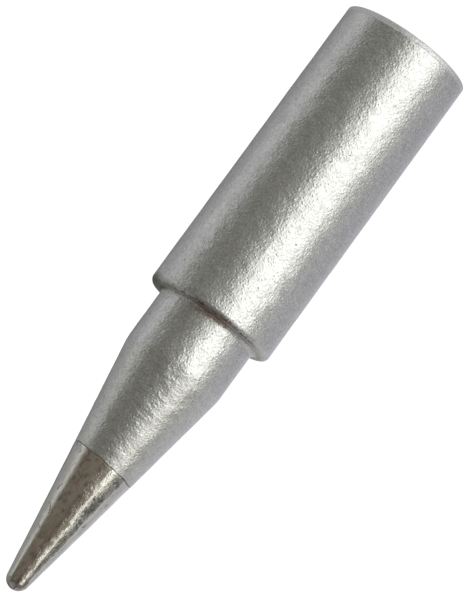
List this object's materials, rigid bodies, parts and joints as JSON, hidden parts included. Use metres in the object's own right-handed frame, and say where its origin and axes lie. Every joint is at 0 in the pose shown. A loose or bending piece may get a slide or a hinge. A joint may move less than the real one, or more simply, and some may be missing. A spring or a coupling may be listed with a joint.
{
  "type": "soldering iron tip",
  "caption": "Plated copper tip for a soldering iron: a sleeve bored for the heater, a shoulder, a neck and a long taper with a tinned, rounded point.",
  "frame": {"origin": "centre of the mouth's face, on the turning axis", "axes": "+Z along the turning axis from the mouth to the point; X and Y are any two directions across it"},
  "size_m": [0.0065, 0.0064, 0.0308],
  "materials": {
    "plated_copper": "satin electroplate over copper with a fine grain, and glossy uneven solder over the tinned end"
  },
  "bodies": {
    "root": {"soldering_tip": "plated_copper"}
  },
  "joints": []
}
